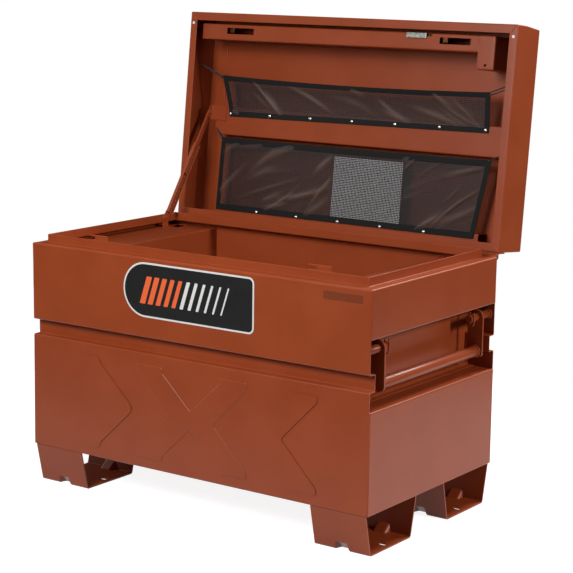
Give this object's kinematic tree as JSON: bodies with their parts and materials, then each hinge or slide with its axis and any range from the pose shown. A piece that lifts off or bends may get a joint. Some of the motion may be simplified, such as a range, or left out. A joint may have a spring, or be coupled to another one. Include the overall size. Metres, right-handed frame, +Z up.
{
  "type": "jobsite storage box",
  "caption": "Folded steel storage box on channel feet, with a hinged lid held open by a stay, recessed drop handles, embossed front and mesh pockets in the lid.",
  "frame": {"origin": "centre of the tub's footprint on the floor, in the plane of the feet's bottoms", "axes": "+X to the right along the width, +Y from the front to the hinge side, +Z up"},
  "size_m": [0.9144, 0.6763, 1.0644],
  "materials": {
    "powder_coat": "satin brown-red powder coat on steel",
    "zinc_plate": "zinc plated steel",
    "mesh_fabric": "fine black mesh with a bound hem",
    "elastic": "black braided elastic cord",
    "rivet_aluminium": "bright aluminium blind rivets",
    "bumper_plastic": "pale soft plastic",
    "card": "pale printed film, left blank",
    "plaque_film": null
  },
  "bodies": {
    "cabinet": {"front_panel": "powder_coat", "back_panel": "powder_coat", "left_end_upper": "powder_coat", "right_end_upper": "powder_coat", "left_end_lower": "powder_coat", "right_end_lower": "powder_coat", "left_housing": "powder_coat", "right_housing": "powder_coat", "floor_panel": "powder_coat", "front_left_foot": "powder_coat", "front_right_foot": "powder_coat", "rear_left_foot": "powder_coat", "rear_right_foot": "powder_coat", "left_striker": "powder_coat", "right_striker": "powder_coat", "hinge_tub_leaf": "powder_coat", "hinge_pin": "zinc_plate", "stay_lower_bracket": "powder_coat", "stay_lower_rivet": "zinc_plate", "left_handle_pins": "powder_coat", "right_handle_pins": "powder_coat", "left_handle_cotters": "zinc_plate", "right_handle_cotters": "zinc_plate", "front_plaque": "plaque_film"},
    "lid": {"lid_shell": "powder_coat", "left_lid_end": "powder_coat", "right_lid_end": "powder_coat", "lid_middle_channel": "powder_coat", "lid_lower_channel": "powder_coat", "lock_channel": "powder_coat", "vault_cover": "powder_coat", "hinge_lid_leaf": "powder_coat", "stay_upper_bracket": "powder_coat", "upper_net": "mesh_fabric", "lower_net": "mesh_fabric", "upper_net_rivets": "rivet_aluminium", "lower_net_rivets": "rivet_aluminium", "net_cords": "elastic", "blank_card": "card", "lid_bumpers": "bumper_plastic"},
    "latch": {"latch_bar": "zinc_plate", "latch_lever": "zinc_plate"},
    "stay_tube": {"stay_outer_channel": "powder_coat"},
    "stay_rod": {"stay_inner_bar": "powder_coat"},
    "left_handle": {"left_handle_arms": "powder_coat", "left_handle_grip": "powder_coat"},
    "right_handle": {"right_handle_arms": "powder_coat", "right_handle_grip": "powder_coat"}
  },
  "joints": [
    {"name": "lid_hinge", "type": "hinge", "parent": "cabinet", "child": "lid", "pos_m": [0, 0.26, 0.5569], "axis": [1, 0, 0], "range_deg": [0, 96.1]},
    {"name": "latch_slide", "type": "slide", "parent": "lid", "child": "latch", "axis": [1, 0, 0], "range_m": [0, 0.02]},
    {"name": "stay_swing", "type": "hinge", "parent": "cabinet", "child": "stay_tube", "pos_m": [-0.426, 0.186, 0.5699], "axis": [1, 0, 0], "range_deg": [0, 109.29]},
    {"name": "stay_slide", "type": "slide", "parent": "stay_tube", "child": "stay_rod", "axis": [0, 0.5571, 0.8305], "range_m": [-0.09678, 0]},
    {"name": "left_handle_lift", "type": "hinge", "parent": "cabinet", "child": "left_handle", "pos_m": [-0.438, 0, 0.4299], "axis": [0, 1, 0], "range_deg": [0, 90]},
    {"name": "right_handle_lift", "type": "hinge", "parent": "cabinet", "child": "right_handle", "pos_m": [0.438, 0, 0.4299], "axis": [0, -1, 0], "range_deg": [0, 90]}
  ],
  "couplings": [
    {"joint": "stay_swing", "follows": "lid_hinge", "ratio": 1.1371},
    {"joint": "stay_slide", "follows": "lid_hinge", "m_per_rad": -0.057644}
  ]
}
